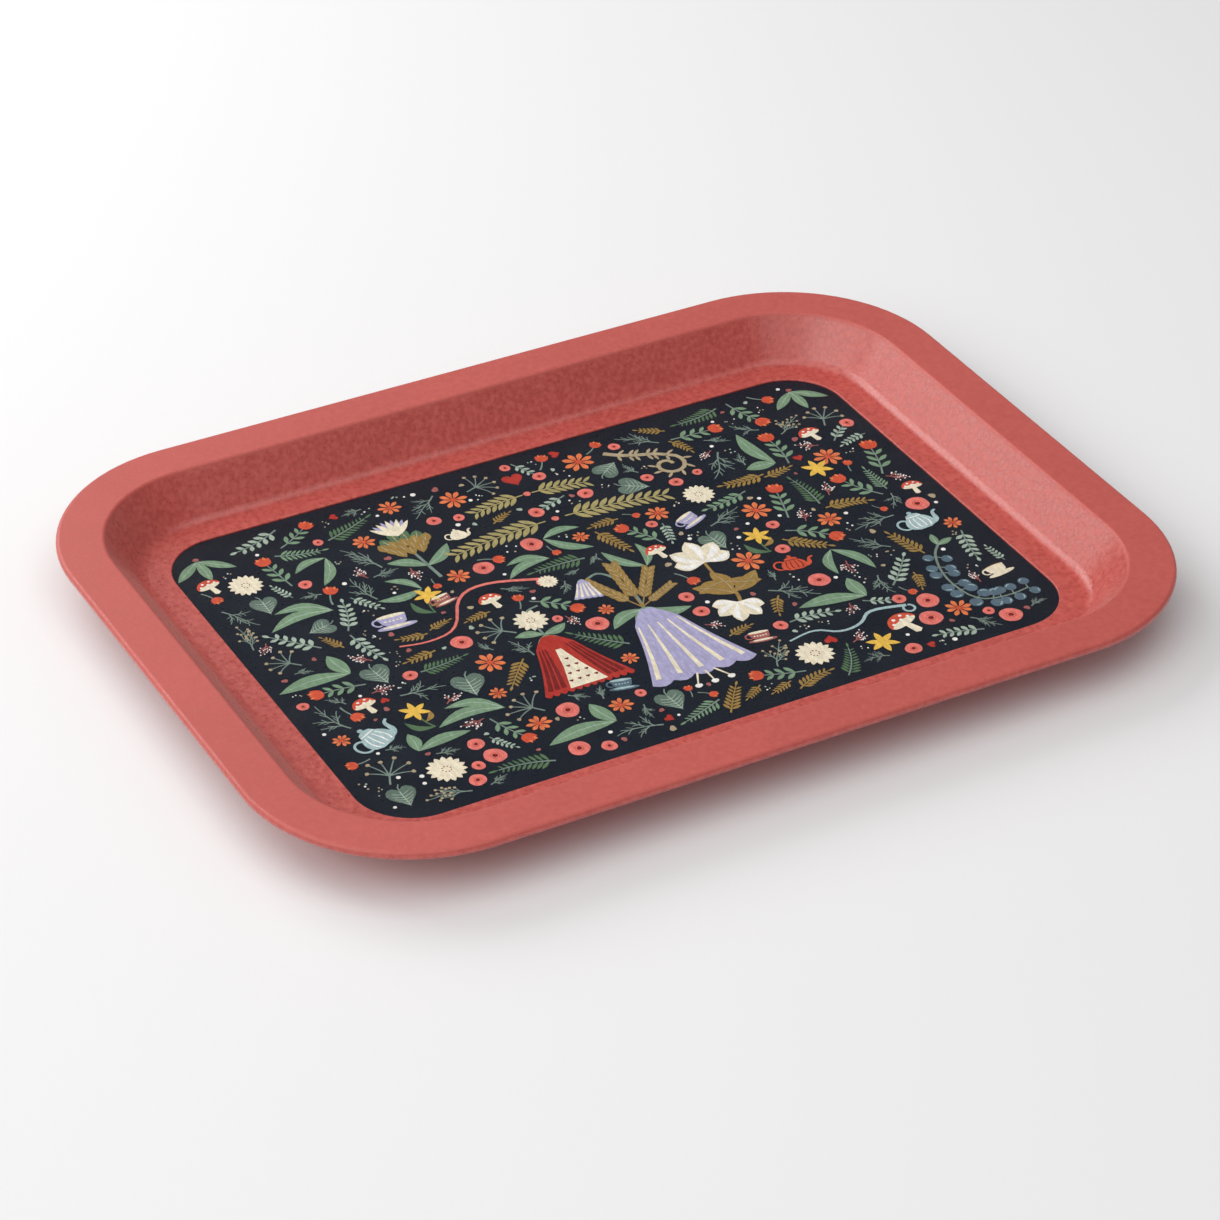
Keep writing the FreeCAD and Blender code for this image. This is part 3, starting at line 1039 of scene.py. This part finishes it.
def draw_pattern(layout, half_x, half_y, corner):
    """Draws the features, then scatters the rest into the ground that is left."""
    dice = random.Random(layout.seed)
    sheets = {ink: [] for ink in INKS}
    ground = Ground(half_x, half_y, corner, layout.margin / MM, layout.gap / MM)

    def keep(shapes_by_ink):
        ground.take(covered_points(shapes_by_ink))
        for ink, shapes in shapes_by_ink.items():
            sheets[ink] += shapes

    for motif, x, y, turn, size, options in FEATURES:
        keep(drawn(motif, options, dice.random(), x, y, math.radians(turn), size))
    for motif, count, smallest, largest, options in SCATTERED:
        for _ in range(count):
            size = dice.uniform(smallest, largest)
            mirror = dice.choice((-1, 1))
            seed = dice.random()
            points = covered_points(drawn(motif, options, seed, 0.0, 0.0, 0.0, size, mirror))
            for _ in range(TRIES):
                x, y = dice.uniform(-half_x, half_x), dice.uniform(-half_y, half_y)
                turn = dice.uniform(0, 2 * math.pi)
                along = np.array(((math.cos(turn), math.sin(turn)), (-math.sin(turn), math.cos(turn))))
                if ground.is_free(points @ along + (x, y)):
                    keep(drawn(motif, options, seed, x, y, turn, size, mirror))
                    break
    return sheets


# ---------------------------------------------------------------- meshes

# Shapes of one ink stand at this many slightly different heights, so that no two faces coincide.
LAYERS = 8


def area(points):
    """Area of an outline, which is negative when it runs clockwise."""
    return sum(a[0] * b[1] - b[0] * a[1] for a, b in zip(points, points[1:] + points[:1])) / 2


def flat_solids(name, shapes, bottom, top, step=0.0):
    """One mesh of closed, flat solids, one for each shape, from a bottom to a top in metres.

    Shapes that follow each other stand a fraction of a step apart."""
    vertices, faces = [], []
    for order, (points, surface) in enumerate(shapes):
        count = len(points)
        start = len(vertices)
        forward = area(points) > 0
        shape_top = top + step * (order % LAYERS) / LAYERS
        vertices += [(x * MM, y * MM, bottom) for x, y in points]
        vertices += [(x * MM, y * MM, shape_top) for x, y in points]
        for face in surface:
            upper = [start + count + index for index in face]
            lower = [start + index for index in face]
            face_forward = area([points[index] for index in face]) > 0
            faces.append(upper if face_forward else upper[::-1])
            faces.append(lower[::-1] if face_forward else lower)
        for index in range(count):
            after = (index + 1) % count
            side = [start + index, start + after, start + count + after, start + count + index]
            faces.append(side if forward else side[::-1])
    mesh = bpy.data.meshes.new(name)
    mesh.from_pydata(vertices, [], faces)
    mesh.validate()
    piece = bpy.data.objects.new(name, mesh)
    bpy.context.scene.collection.objects.link(piece)
    return piece


def sheet_size():
    """Half length, half depth and corner radius of the decor sheet, in metres, read from the frame."""
    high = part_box("decor_sheet")[1]
    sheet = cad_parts["decor_sheet"].data
    end = [vertex.co.y for vertex in sheet.vertices if high[0] - vertex.co.x < 0.01 * MM]
    return high[0], high[1], high[1] - max(end)


def rounded_rectangle(half_x, half_y, radius, count=16):
    """Outline of a rectangle with round corners, anticlockwise."""
    outline = []
    centres = ((half_x - radius, half_y - radius), (radius - half_x, half_y - radius),
               (radius - half_x, radius - half_y), (half_x - radius, radius - half_y))
    for corner, (x, y) in enumerate(centres):
        for share in steps(count):
            angle = math.pi / 2 * (corner + share)
            outline.append((x + radius * math.cos(angle), y + radius * math.sin(angle)))
    return outline


def finish_node(name, material):
    """Gives a carried-over node its material."""
    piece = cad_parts[name]
    piece.data.materials.clear()
    piece.data.materials.append(material)


# ---------------------------------------------------------------- operators

class TRAY_OT_moulding(bpy.types.Operator):
    """Finish the moulded shell"""
    bl_idname = "tray.moulding"
    bl_label = "Finish Moulding"

    def execute(self, context):
        finish_node("tray_body", moulding_finish(context.scene.tray_moulding))
        return {"FINISHED"}


class TRAY_OT_sheet(bpy.types.Operator):
    """Finish the midnight blue sheet that carries the pattern"""
    bl_idname = "tray.sheet"
    bl_label = "Finish Sheet"

    def execute(self, context):
        scene = context.scene
        finish_node("decor_sheet", ground_finish(scene.tray_print, scene.tray_moulding))
        return {"FINISHED"}


class TRAY_OT_pattern(bpy.types.Operator):
    """Print the botanical pattern, one piece for each ink"""
    bl_idname = "tray.pattern"
    bl_label = "Print Pattern"

    def execute(self, context):
        scene = context.scene
        layout = scene.tray_print
        half_x, half_y, corner = sheet_size()
        sheet_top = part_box("decor_sheet")[1][2]
        sheets = draw_pattern(layout, half_x / MM, half_y / MM, corner / MM)
        for level, (ink, shapes) in enumerate(sheets.items(), start=1):
            top = sheet_top + level * layout.ink_step
            piece = flat_solids("ink_" + ink, shapes, sheet_top - layout.ink_step, top, layout.ink_step)
            colour = getattr(scene.tray_inks, ink)[:]
            piece.data.materials.append(ink_finish("ink_" + ink, colour, scene.tray_moulding))
            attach(piece, BODY)
        return {"FINISHED"}


class TRAY_OT_film(bpy.types.Operator):
    """Lay the clear wear film over the print"""
    bl_idname = "tray.film"
    bl_label = "Lay Film"

    def execute(self, context):
        scene = context.scene
        half_x, half_y, corner = sheet_size()
        outline = rounded_rectangle(half_x / MM, half_y / MM, corner / MM)
        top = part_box("clear_overlay")[1][2]
        whole = tuple(range(len(outline)))
        film = flat_solids("wear_film", [(outline, [whole])], top - scene.tray_print.film, top)
        film.data.materials.append(film_finish(scene.tray_moulding))
        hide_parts("clear_overlay")
        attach(film, BODY)
        return {"FINISHED"}


class TRAY_OT_studio(bpy.types.Operator):
    """Set up the floor, the lights and the camera"""
    bl_idname = "tray.studio"
    bl_label = "Set Up Studio"

    def execute(self, context):
        studio = context.scene.tray_studio
        self.lay_floor(studio)
        self.hang_lights(context.scene, studio)
        self.place_camera(context.scene, studio)
        return {"FINISHED"}

    def lay_floor(self, studio):
        half = 6.0
        mesh = bpy.data.meshes.new("studio_floor")
        corners = [(-half, -half, 0), (half, -half, 0), (half, half, 0), (-half, half, 0)]
        mesh.from_pydata(corners, [], [(0, 1, 2, 3)])
        floor = bpy.data.objects.new("studio_floor", mesh)
        bpy.context.scene.collection.objects.link(floor)
        mesh.materials.append(floor_finish(studio.floor))

    def hang_lights(self, scene, studio):
        scene.view_settings.view_transform = "Standard"
        world = bpy.data.worlds.new("room")
        world.use_nodes = True
        background = world.node_tree.nodes["Background"]
        background.inputs["Color"].default_value = (0.97, 0.98, 1.0, 1.0)
        background.inputs["Strength"].default_value = studio.sky
        scene.world = world
        warm = (1.0, 0.985, 0.965)
        self.area_light("overhead", (-0.2, -0.3, 1.35), 1.8, 1.8, studio.overhead, warm)
        self.area_light("window", (-1.87, -0.33, 1.2), 2.6, 1.1, studio.window, warm)
        self.area_light("back_light", (-0.34, 0.8, 0.6), 0.9, 0.6, studio.back_window, warm)

    def area_light(self, name, place, width, height, power, colour):
        data = bpy.data.lights.new(name, "AREA")
        data.shape = "RECTANGLE"
        data.size, data.size_y = width, height
        data.energy = power
        data.color = colour
        light = bpy.data.objects.new(name, data)
        light.location = place
        light.rotation_euler = (-Vector(place)).to_track_quat("-Z", "Y").to_euler()
        bpy.context.scene.collection.objects.link(light)

    def place_camera(self, scene, studio):
        flat = math.cos(studio.elevation)
        back = Vector((math.sin(studio.azimuth) * flat, -math.cos(studio.azimuth) * flat,
                       math.sin(studio.elevation)))
        right = (-back).cross(Vector((0, 0, 1))).normalized()
        up = back.cross(right)
        across = right * math.cos(studio.roll) + up * math.sin(studio.roll)
        upright = up * math.cos(studio.roll) - right * math.sin(studio.roll)
        turn = Matrix((across, upright, back)).transposed().to_4x4()
        data = bpy.data.cameras.new("camera")
        data.lens = studio.lens
        data.sensor_width = 36.0
        data.clip_start = 0.01
        camera = bpy.data.objects.new("camera", data)
        camera.matrix_world = Matrix.Translation(Vector(studio.aim) + back * studio.distance) @ turn
        scene.collection.objects.link(camera)
        scene.camera = camera


class TRAY_PT_sidebar(bpy.types.Panel):
    """Lists the tray's pieces and their settings"""
    bl_idname = "TRAY_PT_sidebar"
    bl_label = "Serving Tray"
    bl_space_type = "VIEW_3D"
    bl_region_type = "UI"
    bl_category = "Tray"

    def draw(self, context):
        for operator in OPERATORS:
            self.layout.operator(operator.bl_idname)
        for group in SETTINGS:
            box = self.layout.box()
            box.label(text=group.replace("_", " ").capitalize())
            for name in SETTINGS[group].__annotations__:
                box.prop(getattr(context.scene, group), name)


OPERATORS = (TRAY_OT_moulding, TRAY_OT_sheet, TRAY_OT_pattern, TRAY_OT_film, TRAY_OT_studio)
SETTINGS = {
    "tray_moulding": TrayMouldingLook,
    "tray_print": TrayPrintLayout,
    "tray_inks": TrayInkColours,
    "tray_studio": TrayStudio,
}


def register():
    for group, settings in SETTINGS.items():
        bpy.utils.register_class(settings)
        setattr(bpy.types.Scene, group, PointerProperty(type=settings))
    for cls in OPERATORS + (TRAY_PT_sidebar,):
        bpy.utils.register_class(cls)


def unregister():
    for cls in reversed(OPERATORS + (TRAY_PT_sidebar,)):
        bpy.utils.unregister_class(cls)
    for group, settings in SETTINGS.items():
        delattr(bpy.types.Scene, group)
        bpy.utils.unregister_class(settings)


def main():
    register()
    bpy.ops.tray.moulding()
    bpy.ops.tray.sheet()
    bpy.ops.tray.pattern()
    bpy.ops.tray.film()
    bpy.ops.tray.studio()


if __name__ == "__main__":
    main()
